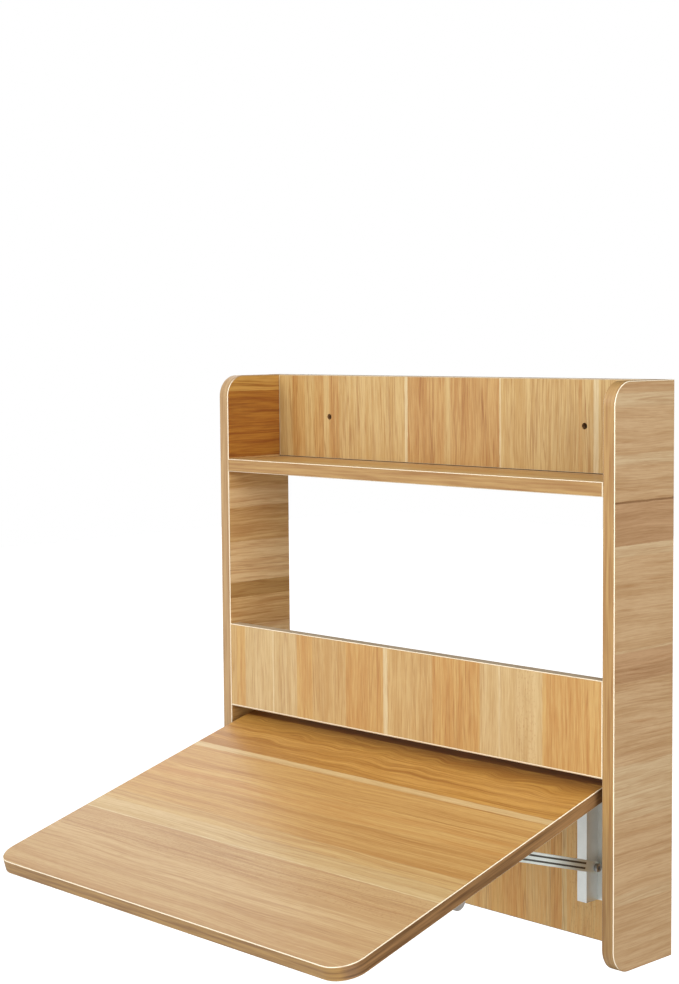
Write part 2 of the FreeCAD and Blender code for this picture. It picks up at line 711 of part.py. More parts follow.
def strut_nut(side_name, side):
    """The hex nut inside the wall leg."""
    far = f"({LEG_FAR} - sheet_steel)"
    near = f"({far} - strut_nut_height)"
    blank = cross_hex(f"{side_name}_nut_blank", side, "strut_nut_radius", near, far, STRUT_Y, STRUT_Z)
    bore = cross_rod(f"{side_name}_nut_bore", side, "strut_bolt_radius + fit_gap",
                     near, far, STRUT_Y, STRUT_Z)
    return cut(f"{side_name}_nut_solid", blank, [bore])


def strut_spacer(side_name, side):
    """The sleeve that keeps the strut clear of the arm."""
    blank = cross_rod(f"{side_name}_spacer_blank", side, "strut_bolt_radius + strut_spacer_wall",
                      LEG_FAR, STRUT_NEAR, STRUT_Y, STRUT_Z)
    bore = cross_rod(f"{side_name}_spacer_bore", side, "strut_bolt_radius + fit_gap",
                     LEG_FAR, STRUT_NEAR, STRUT_Y, STRUT_Z)
    return cut(f"{side_name}_spacer_solid", blank, [bore])


LEVER_NEAR = f"({BRACKET_MIDDLE} - lever_thickness / 2)"
LEVER_FAR = f"({BRACKET_MIDDLE} + lever_thickness / 2)"


def release_lever(side_name, side):
    """A flat lever inside the arm: a tooth that holds the slide pin, and a round thumb tab below the arm."""
    body = new_body(f"{side_name}_lever_body")
    start = from_centre(side, LEVER_NEAR, LEVER_FAR)
    half = "(lever_width / 2)"
    pin_y = f"(-{LEVER_REACH})"
    tab_z = "(lever_pin_rise - lever_length)"
    body_box(body, "Additive", f"{side_name}_lever_plate",
             (start, f"{pin_y} - {half}", tab_z), ("lever_thickness", "lever_width", "lever_length"))
    body_rod(body, "Additive", f"{side_name}_lever_thumb", half, "lever_thickness", (start, pin_y, tab_z))
    body_rod(body, "Additive", f"{side_name}_lever_eye", half, "lever_thickness",
             (start, pin_y, "lever_pin_rise"))
    body_box(body, "Additive", f"{side_name}_lever_tooth",
             (start, f"{pin_y} + {half}", "lever_pin_rise - lever_tooth_drop"),
             ("lever_thickness", "lever_tooth_length", "lever_tooth_height"))
    body_rod(body, "Subtractive", f"{side_name}_lever_hole", "lever_pin_radius + fit_gap", "lever_thickness",
             (start, pin_y, "lever_pin_rise"))
    return body


def lever_pin(side_name, side):
    """The plain pin across the arm that the lever turns on."""
    return cross_rod(f"{side_name}_lever_pin_solid", side, "lever_pin_radius", ARM_NEAR, ARM_FAR,
                     f"(-{LEVER_REACH})", "lever_pin_rise")


def lever_spring(side_name, side):
    """The coil on the lever's pin that turns the lever home."""
    body = new_body(f"{side_name}_spring_body")
    sketch = body.newObject("Sketcher::SketchObject", f"{side_name}_spring_wire")
    support = next(item for item in body.Origin.OriginFeatures if item.Role == "XY_Plane")
    sketch.AttachmentSupport = [(support, "")]
    sketch.MapMode = "FlatFace"
    bind(sketch, "AttachmentOffset.Base.y", f"(-{LEVER_REACH})")
    bind(sketch, "AttachmentOffset.Base.z", "lever_pin_rise")
    coil_length = "(spring_pitch * spring_turns)"
    first = f"({LEVER_FAR} + spring_gap + spring_wire_radius)"
    wire_x = from_centre(side, first, f"{first} + {coil_length}")
    centre = FreeCAD.Vector(value(wire_x), value("spring_coil_radius"), 0)
    sketch.addGeometry(Part.Circle(centre, FreeCAD.Vector(0, 0, 1), value("spring_wire_radius")))
    limits = [("DistanceX", wire_x), ("DistanceY", "spring_coil_radius")]
    for kind, text in limits:
        number = sketch.addConstraint(Sketcher.Constraint(kind, -1, 1, 0, 3, value(text)))
        bind(sketch, f"Constraints[{number}]", text)
    number = sketch.addConstraint(Sketcher.Constraint("Radius", 0, value("spring_wire_radius")))
    bind(sketch, f"Constraints[{number}]", "spring_wire_radius")
    helix = body.newObject("PartDesign::AdditiveHelix", f"{side_name}_spring_coil")
    helix.Profile = sketch
    helix.ReferenceAxis = (sketch, ["H_Axis"])
    helix.Mode = "pitch-turns-angle"
    bind(helix, "Pitch", "spring_pitch")
    bind(helix, "Turns", "spring_turns")
    return body


for side_name, side in SIDES.items():
    node(f"{side_name}_wall_leg", wall_leg(side_name, side))
    node(f"{side_name}_pivot_pin", pivot_pin(side_name, side))
    node(f"{side_name}_strut_bolt", strut_bolt(side_name, side))
    node(f"{side_name}_strut_nut", strut_nut(side_name, side))
    node(f"{side_name}_strut_spacer", strut_spacer(side_name, side))
    hang_on_pivot(node(f"{side_name}_arm", arm(side_name, side)))
    hang_on_pivot(node(f"{side_name}_release_lever", release_lever(side_name, side)))
    hang_on_pivot(group(f"{side_name}_lever_pin", [lever_pin(side_name, side)]))
    hang_on_pivot(node(f"{side_name}_lever_spring", lever_spring(side_name, side)))
    hang_on_bolt(node(f"{side_name}_strut", strut(side_name, side)))
    hang_on_bolt(node(f"{side_name}_slide_pin", slide_pin(side_name, side)))

group("leg_screws", leg_screws)
hang_on_pivot(group("arm_screws", arm_screws))


# Check every step, then write each piece

doc.recompute()
failed = [item.Name for item in doc.Objects if "Invalid" in item.State or "Error" in item.State]
for name, item in NODES.items():
    if item.Shape.isNull() or not item.Shape.isValid() or not item.Shape.Solids:
        failed.append(name)
if failed:
    raise RuntimeError(f"These pieces failed: {failed}")

os.makedirs("parts", exist_ok=True)
for name, item in NODES.items():
    item.Shape.exportStep(f"parts/{name}.step")
    bounds = item.Shape.BoundBox
    print(f"{name}: {len(item.Shape.Solids)} solids, volume {item.Shape.Volume:.0f},"
          f" x {bounds.XMin:.1f} to {bounds.XMax:.1f}, y {bounds.YMin:.1f} to {bounds.YMax:.1f},"
          f" z {bounds.ZMin:.1f} to {bounds.ZMax:.1f}")
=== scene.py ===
# %% [markdown]
# A fold down wall desk
#
# The desk is a shallow wall unit of wood-print boards: two side panels, a rail with two wall-screw holes,
# a shelf, an apron and a lower back panel. A leaf hangs in it on two folding steel brackets.
# The solids come ready made and keep their places. This lesson gives them their finishes, models the small
# steel pieces again with rounded bends and eased edges, and sets up the camera, the floor and the light.

# %% Load the desk
import json
import math

import bpy
from mathutils import Euler, Matrix, Vector


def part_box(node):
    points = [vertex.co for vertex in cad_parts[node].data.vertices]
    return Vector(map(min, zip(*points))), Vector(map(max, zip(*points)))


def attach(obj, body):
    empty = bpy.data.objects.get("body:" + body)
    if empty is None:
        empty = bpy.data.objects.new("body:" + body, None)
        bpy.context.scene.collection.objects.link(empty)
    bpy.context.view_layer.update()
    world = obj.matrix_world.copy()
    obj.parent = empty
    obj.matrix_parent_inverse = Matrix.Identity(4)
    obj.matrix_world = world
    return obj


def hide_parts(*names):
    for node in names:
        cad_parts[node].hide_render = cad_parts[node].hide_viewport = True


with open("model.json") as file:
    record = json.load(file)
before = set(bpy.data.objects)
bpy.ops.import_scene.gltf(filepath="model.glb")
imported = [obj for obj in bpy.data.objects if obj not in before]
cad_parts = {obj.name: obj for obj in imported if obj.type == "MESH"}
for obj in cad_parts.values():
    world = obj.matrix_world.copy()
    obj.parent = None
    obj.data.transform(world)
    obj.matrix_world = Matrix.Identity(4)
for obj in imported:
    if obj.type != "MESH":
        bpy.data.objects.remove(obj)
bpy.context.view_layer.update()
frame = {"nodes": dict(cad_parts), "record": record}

solids = frame["nodes"]

# %% [markdown]
# The camera
#
# The picture was taken from the right of the desk, a little above the rail, with a long lens.
# A camera could be aimed at a target by a constraint. Here its place and three turns are set directly,
# because they were fitted to the corners of the boards.

# %% Place the camera
CAMERA_PLACE = (1.4899, -1.6188, 0.0998)
CAMERA_TURN_LEFT = math.radians(46.133)
CAMERA_TILT = math.radians(-4.677)
CAMERA_ROLL = math.radians(-0.497)
CAMERA_LENS = 71.02
SENSOR_WIDTH = 36

bpy.ops.object.select_all(action="DESELECT")
bpy.ops.object.camera_add(location=CAMERA_PLACE)
camera = bpy.context.object
camera.name = "desk_camera"
aim = Euler((math.pi / 2 + CAMERA_TILT, 0, CAMERA_TURN_LEFT)).to_matrix()
camera.rotation_euler = (aim @ Matrix.Rotation(CAMERA_ROLL, 3, "Z")).to_euler()
camera.data.lens = CAMERA_LENS
camera.data.sensor_width = SENSOR_WIDTH
bpy.context.scene.camera = camera
print("camera at", CAMERA_PLACE, "lens", CAMERA_LENS, "mm")

# %% [markdown]
# Nodes
#
# Every finish below is a small network of nodes. Adding a node, setting it and linking it takes several
# lines each time, so a few helpers do it in one call. A socket given as a source is linked, and a plain
# number or colour is set on the socket. A Mix node has sockets for every kind of data, so those for colours
# are picked by their numbers.

# %% Add and link nodes
def put(tree, kind, inputs=None, **settings):
    """Add a node, make its settings and feed its inputs."""
    node = tree.nodes.new(kind)
    for name, setting in settings.items():
        setattr(node, name, setting)
    for name, source in (inputs or {}).items():
        feed(tree, node.inputs[name], source)
    return node


def feed(tree, socket, source):
    if isinstance(source, bpy.types.NodeSocket):
        tree.links.new(source, socket)
    else:
        socket.default_value = source


def new_finish(name):
    finish = bpy.data.materials.new(name)
    finish.use_nodes = True
    return finish, finish.node_tree, finish.node_tree.nodes["Principled BSDF"]


def object_place(tree):
    return put(tree, "ShaderNodeTexCoord").outputs["Object"]


def split(tree, vector):
    return put(tree, "ShaderNodeSeparateXYZ", {"Vector": vector}).outputs


def combine(tree, x, y, z):
    return put(tree, "ShaderNodeCombineXYZ", {"X": x, "Y": y, "Z": z}).outputs["Vector"]


print("helpers for nodes ready")

# %% Noise and numbers
NOISE_MIDDLE = 0.5


def noise(tree, vector, scale, detail=2.0, roughness=0.5):
    settings = {"Vector": vector, "Scale": scale, "Detail": detail, "Roughness": roughness}
    return put(tree, "ShaderNodeTexNoise", settings).outputs[0]


def maths(tree, operation, *values):
    node = put(tree, "ShaderNodeMath", operation=operation)
    for socket, source in zip(node.inputs, values):
        feed(tree, socket, source)
    return node.outputs[0]


def scaled(tree, source, factor):
    return maths(tree, "MULTIPLY", source, factor)


def about_zero(tree, source):
    """Noise from 0 to 1, moved so that it swings to both sides of zero."""
    return maths(tree, "SUBTRACT", source, NOISE_MIDDLE)


def between(tree, source, low, high):
    """1 where a number lies between two limits, and 0 elsewhere."""
    above = maths(tree, "GREATER_THAN", source, low)
    below = maths(tree, "LESS_THAN", source, high)
    return maths(tree, "MULTIPLY", above, below)


def stretch(tree, source, low, high, new_low=0.0, new_high=1.0):
    """Carry the span from low to high over to a new span, and hold what lies outside at its ends."""
    settings = {"Value": source, "From Min": low, "From Max": high, "To Min": new_low, "To Max": new_high}
    return put(tree, "ShaderNodeMapRange", settings, clamp=True).outputs["Result"]


def facing(tree, direction):
    """How squarely a surface faces a direction: 1 when straight towards it, -1 when straight away."""
    normal = put(tree, "ShaderNodeTexCoord").outputs["Normal"]
    squareness = put(tree, "ShaderNodeVectorMath", {0: normal, 1: direction}, operation="DOT_PRODUCT")
    return squareness.outputs["Value"]


def facing_either(tree, direction):
    """The same for a direction and its opposite alike: 1 along them, 0 straight across."""
    return maths(tree, "ABSOLUTE", facing(tree, direction))


print("helpers for noise and numbers ready")

# %% Colours and surfaces
MIX_SHARE, MIX_FIRST, MIX_SECOND = 0, 6, 7
MIX_RESULT = 2
NOISE_SPAN = (0.3, 0.7)


def opaque(colour):
    return (*colour, 1.0)


def blend_colours(tree, blend, share, first, second):
    node = put(tree, "ShaderNodeMix", data_type="RGBA", blend_type=blend)
    feed(tree, node.inputs[MIX_SHARE], share)
    feed(tree, node.inputs[MIX_FIRST], first)
    feed(tree, node.inputs[MIX_SECOND], second)
    return node.outputs[MIX_RESULT]


def cover(tree, colour, share, paint):
    """Colour with a share of plain paint laid over it."""
    return blend_colours(tree, "MIX", share, colour, opaque(paint))


def darken(tree, colour, share, tint):
    """Colour with a share of a tint multiplied into it."""
    return blend_colours(tree, "MULTIPLY", share, colour, opaque(tint))


def ramp(tree, share, stops, interpolation="LINEAR"):
    node = put(tree, "ShaderNodeValToRGB", {"Fac": share})
    node.color_ramp.interpolation = interpolation
    points = node.color_ramp.elements
    points.remove(points[1])
    for index, (position, colour) in enumerate(stops):
        point = points[0] if index == 0 else points.new(position)
        point.position = position
        point.color = opaque(colour)
    return node.outputs["Color"]


def surface(tree, shader, colour, sheen, roughness, relief, bump):
    """Give a shader its colour, a roughness that follows one noise, and a fine relief from another."""
    tree.links.new(colour, shader.inputs["Base Color"])
    tree.links.new(stretch(tree, sheen, *NOISE_SPAN, *roughness), shader.inputs["Roughness"])
    normal = put(tree, "ShaderNodeBump", {"Height": relief, **bump}).outputs["Normal"]
    tree.links.new(normal, shader.inputs["Normal"])


print("helpers for colours and surfaces ready")

# %% [markdown]
# Floor and light
#
# The desk hangs high over a pale floor in a white room, high enough for a look at it from below. The room
# is a white world. As on a real wall, little light comes from straight behind the desk, so the world lights
# less from there and the gap under the apron turns dark. To the camera it stays white all round. One large
# soft lamp at the front makes the fronts of the boards brighter than their sides, and two weak ones light
# the right side and the back. A white card stands for the wall at the left, and its reflection puts a sheen
# on the leaf. The floor itself throws no light on the desk. The colours are shown as they are: the view is
# Standard.

# %% Floor
FLOOR_HEIGHT = -4.0
FLOOR_SIZE = 60
FLOOR_GLOW = 0.7
FLOOR_ROUGHNESS = 0.9
FLOOR_MOTTLE = {"scale": 3.0}
FLOOR_TONES = [(0.3, (0.93, 0.93, 0.93)), (0.7, (0.96, 0.96, 0.96))]

bpy.ops.mesh.primitive_plane_add(size=FLOOR_SIZE, location=(0, 0, FLOOR_HEIGHT))
floor = bpy.context.object
floor.name = "studio_floor"
floor_finish, tree, shader = new_finish("studio_floor_paint")
paint = ramp(tree, noise(tree, object_place(tree), **FLOOR_MOTTLE), FLOOR_TONES)
tree.links.new(paint, shader.inputs["Base Color"])
tree.links.new(paint, shader.inputs["Emission Color"])
shader.inputs["Emission Strength"].default_value = FLOOR_GLOW
shader.inputs["Roughness"].default_value = FLOOR_ROUGHNESS
floor.data.materials.append(floor_finish)
floor.visible_diffuse = False
floor.visible_glossy = False
print("floor at", FLOOR_HEIGHT, "m")

# %% World
WHITE = (1, 1, 1, 1)
BACKDROP_LIGHT = 1.0
ROOM_LIGHT = 1.0
BEHIND_LIGHT = 0.08
FADE_SPAN = (-0.1, 0.3)

world = bpy.data.worlds.new("white_room")
world.use_nodes = True
tree = world.node_tree
room = tree.nodes["Background"]
backdrop = put(tree, "ShaderNodeBackground", {"Color": WHITE, "Strength": BACKDROP_LIGHT})
towards = split(tree, put(tree, "ShaderNodeTexCoord").outputs["Generated"])
feed(tree, room.inputs["Color"], WHITE)
feed(tree, room.inputs["Strength"], stretch(tree, towards["Y"], *FADE_SPAN, ROOM_LIGHT, BEHIND_LIGHT))
seen = put(tree, "ShaderNodeLightPath").outputs["Is Camera Ray"]
either = put(tree, "ShaderNodeMixShader", {0: seen, 1: room.outputs[0], 2: backdrop.outputs[0]})
tree.links.new(either.outputs[0], tree.nodes["World Output"].inputs["Surface"])
bpy.context.scene.world = world
bpy.context.scene.view_settings.view_transform = "Standard"
print("world lit from the front and sides, with", BEHIND_LIGHT, "from behind")

# %% Lamps
DESK_MIDDLE = (0, -0.15, -0.25)
WALL_LEFT = (-0.88, 0.0, -0.02)
STRAIGHT_AHEAD = (-0.88, -1.0, -0.02)
FRONT_HIGH = (-0.8, -3.0, 1.5)
FAR_RIGHT = (2.2, -0.6, 0.3)
LOW_BACK = (0.0, 2.6, -1.0)


def softbox(name, place, target, size, power, in_gloss=True):
    bpy.ops.object.light_add(type="AREA", location=place)
    lamp = bpy.context.object
    lamp.name = name
    lamp.data.shape = "SQUARE"
    lamp.data.size = size
    lamp.data.energy = power
    lamp.rotation_euler = (Vector(target) - Vector(place)).to_track_quat("-Z", "Y").to_euler()
    lamp.visible_camera = False
    lamp.visible_glossy = in_gloss
    print(name, power, "W")


softbox("front_softbox", FRONT_HIGH, DESK_MIDDLE, size=1.6, power=56)
softbox("left_wall_card", WALL_LEFT, STRAIGHT_AHEAD, size=1.12, power=5.8)
softbox("right_softbox", FAR_RIGHT, DESK_MIDDLE, size=1.4, power=36)
softbox("low_back_softbox", LOW_BACK, DESK_MIDDLE, size=1.6, power=50, in_gloss=False)

# %% [markdown]
# Wood print
#
# The boards are chipboard under a printed paper. The print shows planks of honey, amber and cream side by
# side, each with its own streaks and pores. A picture of wood could be wrapped on, but then it would repeat
# and need a file, so the print is made of nodes. Its tones come first, in pairs: the dark and the pale tone
# of each kind of plank. They are mixed by the steps of a paint chart, because those are easy to judge, and
# turned into the linear colours that a shader needs. One depth sets how bright all of them are.

# %% Tones of the print
PRINT_DEPTH = 0.72
CHART_STEPS = 255
STRAIGHT_UP_TO = 0.04045
STRAIGHT_SLOPE = 12.92
CURVE_OFFSET = 0.055
CURVE_POWER = 2.4


def linear(step):
    """Linear share of one step of the chart, by the sRGB curve."""
    share = step / CHART_STEPS
    if share <= STRAIGHT_UP_TO:
        return share / STRAIGHT_SLOPE
    return ((share + CURVE_OFFSET) / (1 + CURVE_OFFSET)) ** CURVE_POWER


def tone(red, green, blue):
    """Linear colour of a print tone that is given in the 0 to 255 steps of a paint chart."""
    return tuple(PRINT_DEPTH * linear(step) for step in (red, green, blue))


CREAM = (tone(228, 200, 150), tone(238, 216, 168))
PALE = (tone(212, 176, 118), tone(228, 198, 144))
HONEY = (tone(206, 162, 98), tone(224, 188, 126))
AMBER = (tone(198, 146, 78), tone(218, 174, 104))
ORANGE = (tone(206, 152, 82), tone(222, 180, 110))
SAND = (tone(200, 157, 104), tone(216, 180, 127))
SAND_PALE = (tone(204, 163, 109), tone(221, 186, 134))
TAN = (tone(196, 150, 92), tone(216, 176, 118))
OAK = (tone(196, 144, 78), tone(216, 174, 108))
OAK_PALE = (tone(206, 164, 98), tone(224, 190, 128))
BROWN = (tone(176, 126, 66), tone(200, 154, 92))
UMBER = (tone(173, 118, 50), tone(210, 158, 76))
# Painted shade: the dark tone of the leaf's rear strip, which stands for the apron's shadow on it.
PAINTED_APRON_SHADOW = (tone(126, 76, 24), tone(154, 100, 38))
GOLD = (tone(180, 123, 46), tone(216, 164, 82))
RUST = (tone(154, 86, 19), tone(190, 128, 45))
FAWN = (tone(194, 156, 112), tone(212, 178, 136))
FAWN_PALE = (tone(202, 168, 126), tone(218, 190, 150))
FAWN_BROWN = (tone(182, 142, 101), tone(202, 163, 122))
FAWN_DARK = (tone(138, 100, 66), tone(156, 118, 80))
WARM_FAWN = (tone(224, 176, 120), tone(244, 206, 152))
WARM_BROWN = (tone(204, 152, 92), tone(230, 186, 124))
SUNNY = (tone(250, 194, 110), tone(255, 214, 138))
SUNNY_PALE = (tone(250, 210, 138), tone(255, 230, 168))
SUNNY_DEEP = (tone(240, 173, 85), tone(254, 203, 116))
BAND_CREAM = (0.80, 0.70, 0.53)
CHIPBOARD_DARK = tone(130, 92, 54)
CHIPBOARD_PALE = tone(190, 150, 104)
print("honey runs from", [round(part, 3) for part in HONEY[0]], "to", [round(part, 3) for part in HONEY[1]])

# %% [markdown]
# Planks side by side
#
# Each plank could be a material of its own on its own faces, but the boards have no faces that fit the
# planks. So two colour ramps lay the planks across the board, one with each plank's dark tone and one with
# its pale tone, and a little noise makes their borders ragged. A third ramp gives each plank a number of its
# own. It shifts the grain from plank to plank, so that no streak runs on into the next one.

# %% Lay the planks
MM_PER_METRE = 1000
FEATHER = {"scale": 900.0}
FEATHER_STRETCH = 0.08
FEATHER_WIDTH = 0.0014
SHIFT_STEP = 0.377
SHIFT_START = 0.13


def board_place(tree, place, turn):
    """Object coordinates of a board, moved to a place and turned about X to lie with the board."""
    settings = {"Vector": object_place(tree), "Location": place, "Rotation": (turn, 0, 0)}
    return put(tree, "ShaderNodeMapping", settings, vector_type="TEXTURE").outputs["Vector"]


def board_axes(turn):
    """Directions of a board's own axes when it is turned about X."""
    level, rise = math.cos(turn), math.sin(turn)
    return {"X": (1, 0, 0), "Y": (0, level, rise), "Z": (0, -rise, level)}


def plank_ramp(tree, share, places, colours):
    return ramp(tree, share, list(zip(places, colours)), "CONSTANT")


def lay_planks(tree, width, run, planks):
    """Dark tone, pale tone and shift of planks. Each has its start in millimetres and its two tones."""
    first, last = planks[0][0] / MM_PER_METRE, planks[-1][0] / MM_PER_METRE
    feather = noise(tree, combine(tree, width, scaled(tree, run, FEATHER_STRETCH), 0.0), **FEATHER)
    ragged = maths(tree, "MULTIPLY_ADD", about_zero(tree, feather), FEATHER_WIDTH, width)
    share = stretch(tree, ragged, first, last)
    places = [(start / MM_PER_METRE - first) / (last - first) for start, tones in planks[:-1]]
    dark = plank_ramp(tree, share, places, [tones[0] for start, tones in planks[:-1]])
    pale = plank_ramp(tree, share, places, [tones[1] for start, tones in planks[:-1]])
    greys = [((index * SHIFT_STEP + SHIFT_START) % 1.0,) * 3 for index in range(len(places))]
    grey = plank_ramp(tree, share, places, greys)
    shift = put(tree, "ShaderNodeSeparateColor", {"Color": grey}).outputs[0]
    return dark, pale, shift


print("grain shifts by", SHIFT_STEP, "from plank to plank")

# %% [markdown]
# Grain
#
# Grain is noise that is fine across the board and long along it. Straight noise would look like combed
# paper, so the width is bent by slow noise first, and the streaks sway. The rear planks of the leaf also
# have broad waves, which grow towards its back.

# %% Bend the grain
SMOOTH = {"scale": 1.0, "detail": 1.0}
SWAY_ALONG, SWAY_ACROSS = 7.0, 12.0
SWAY_WIDTH = 0.01
WAVE_ALONG, WAVE_ACROSS = 16.0, 22.0
WAVE_WIDTH = 0.03


def swing(tree, width, run, along, across, shift):
    """Slow noise about zero, with one scale along the board and one across it."""
    slow = combine(tree, scaled(tree, run, along), scaled(tree, width, across), shift)
    return about_zero(tree, noise(tree, slow, **SMOOTH))


def bend_grain(tree, width, run, shift, waves):
    """Width across the board, bent to sway. Waves grow from one place (millimetres) to another."""
    sway = swing(tree, width, run, SWAY_ALONG, SWAY_ACROSS, shift)
    bowed = maths(tree, "MULTIPLY_ADD", sway, SWAY_WIDTH, width)
    if waves:
        start, end = waves
        ripple = swing(tree, width, run, WAVE_ALONG, WAVE_ACROSS, 0.0)
        height = stretch(tree, width, start / MM_PER_METRE, end / MM_PER_METRE, 0.0, WAVE_WIDTH)
        bowed = maths(tree, "MULTIPLY_ADD", ripple, height, bowed)
    return bowed


print("grain sways by", SWAY_WIDTH * MM_PER_METRE / 2, "mm to each side at most")

# %% [markdown]
# Marks in the print
#
# Over the streaks lie finer marks: fibres, short dark pores, veins, and hair lines that follow the growth
# rings in some patches. A few planks also have small flecks. They could be drawn one by one. Here each kind
# is a noise, and a part of its span darkens the colour: the peaks for pores, veins and flecks, the lows for
# fibres, and the middle for hair lines.

# %% Print the marks
FIBRE_TINTS = [(0.36, (0.88, 0.83, 0.75)), (0.58, (1.0, 1.0, 1.0))]
FIBRE_DEPTH = 0.5
PORES = {"scale": 700.0, "detail": 1.0}
PORE_SPAN = (0.66, 0.76)
PORE_DEPTH = 0.3
PORE_TINT = (0.62, 0.46, 0.30)
VEINS = {"scale": 300.0, "detail": 3.0, "roughness": 0.65}
VEIN_SPAN = (0.58, 0.68)
VEIN_TINT = (0.70, 0.50, 0.30)
RINGS = {"scale": 170.0, "detail": 2.0}
HAIR_WIDTH = 0.05
HAIR_TINT = (0.62, 0.44, 0.28)
PATCHES = {"scale": 50.0, "detail": 1.0}
PATCH_SPAN = (0.4, 0.6)
FLECKS = {"scale": 520.0, "detail": 1.0}
FLECK_STRETCH = 0.5
FLECK_SPAN = (0.58, 0.66)
FLECK_DEPTH = 0.35
FLECK_TINT = (0.74, 0.58, 0.40)


def print_marks(tree, colour, long_grain, short_grain, fibres, veining):
    """Colour with fibres, pores, veins and hair lines. Veining is the depth of the last two."""
    colour = blend_colours(tree, "MULTIPLY", FIBRE_DEPTH, colour, ramp(tree, fibres, FIBRE_TINTS))
    pores = noise(tree, short_grain, **PORES)
    colour = darken(tree, colour, stretch(tree, pores, *PORE_SPAN, 0.0, PORE_DEPTH), PORE_TINT)
    veins = noise(tree, long_grain, **VEINS)
    colour = darken(tree, colour, stretch(tree, veins, *VEIN_SPAN, 0.0, veining), VEIN_TINT)
    rings = maths(tree, "ABSOLUTE", about_zero(tree, noise(tree, long_grain, **RINGS)))
    patches = stretch(tree, noise(tree, long_grain, **PATCHES), *PATCH_SPAN)
    hairs = maths(tree, "MULTIPLY", stretch(tree, rings, 0.0, HAIR_WIDTH, veining, 0.0), patches)
    return darken(tree, colour, hairs, HAIR_TINT)


def print_flecks(tree, colour, width, run, start, end):
    """Colour with small dots between two places (millimetres) across the board."""
    inside = between(tree, width, start / MM_PER_METRE, end / MM_PER_METRE)
    dots = noise(tree, combine(tree, width, scaled(tree, run, FLECK_STRETCH), 0.0), **FLECKS)
    share = maths(tree, "MULTIPLY", stretch(tree, dots, *FLECK_SPAN, 0.0, FLECK_DEPTH), inside)
    return darken(tree, colour, share, FLECK_TINT)


print("pores darken by up to", PORE_DEPTH, "and flecks by up to", FLECK_DEPTH)

# %% [markdown]
# The whole print
#
# Broad and fine streaks mix the dark and the pale tone of each plank, and the marks go on top. The paper
# lies only on the two faces of a board. Its cut edges and the inside of its holes are raw chipboard, which
# could be faces with a second material. Here the finish finds them by the way they face.

# %% Wood print finish
BROAD_STREAKS = {"scale": 110.0, "detail": 1.0}
BROAD_SHARE = 0.4
FINE_STREAKS = {"scale": 560.0, "detail": 3.0, "roughness": 0.6}
FINE_SHARE = 0.6
STREAK_SPAN = (0.41, 0.59)
FIBRES = {"scale": 1500.0, "detail": 2.0}
FIBRE_STRETCH = 0.05
LAYER_STEP = 7.0
CHIP_SCALE = 420.0
FACE_SPAN = (0.4, 0.6)
PRINT_ROUGHNESS = (0.44, 0.34)
PRINT_BUMP = {"Strength": 0.05, "Distance": 0.0003}


def raw_edges(tree, colour, own, through):
    """Colour on a board's two faces, which look along through, and raw chipboard elsewhere."""
    chips = put(tree, "ShaderNodeTexVoronoi", {"Vector": own, "Scale": CHIP_SCALE}).outputs["Color"]
    chip_share = put(tree, "ShaderNodeSeparateColor", {"Color": chips}).outputs[0]
    raw = ramp(tree, chip_share, [(0.0, CHIPBOARD_DARK), (1.0, CHIPBOARD_PALE)])
    flat = stretch(tree, facing_either(tree, through), *FACE_SPAN)
    return blend_colours(tree, "MIX", flat, raw, colour)


def wood_print(name, layout, planks, veining=0.4, grain=0.04, flecks=(), waves=None, rim=None,
               place=(0, 0, 0), turn=0.0):
    """Print of planks across a board. Grain is its scale along the board, rim the end of a cream rim."""
    finish, tree, shader = new_finish(name)
    own = board_place(tree, place, turn)
    parts = split(tree, own)
    width, run = parts[layout["across"]], parts[layout["along"]]
    dark, pale, shift = lay_planks(tree, width, run, planks)
    bowed = bend_grain(tree, width, run, shift, waves)
    layer = scaled(tree, shift, LAYER_STEP)
    long_grain = combine(tree, bowed, scaled(tree, run, grain), layer)
    short_grain = combine(tree, bowed, scaled(tree, run, FIBRE_STRETCH), layer)
    fine = scaled(tree, noise(tree, long_grain, **FINE_STREAKS), FINE_SHARE)
    streaks = maths(tree, "MULTIPLY_ADD", noise(tree, long_grain, **BROAD_STREAKS), BROAD_SHARE, fine)
    fibres = noise(tree, short_grain, **FIBRES)
    colour = blend_colours(tree, "MIX", stretch(tree, streaks, *STREAK_SPAN), dark, pale)
    colour = print_marks(tree, colour, long_grain, short_grain, fibres, veining)
    for start, end in flecks:
        colour = print_flecks(tree, colour, width, run, start, end)
    if rim:
        colour = cover(tree, colour, maths(tree, "LESS_THAN", run, rim), BAND_CREAM)
    colour = raw_edges(tree, colour, own, board_axes(turn)[layout["through"]])
    surface(tree, shader, colour, fibres, PRINT_ROUGHNESS, fibres, PRINT_BUMP)
    print(name, "has", len(planks) - 1, "planks")
    return finish


def dress(node_name, finish):
    solid = solids[node_name]
    solid.data.materials.clear()
    solid.data.materials.append(finish)
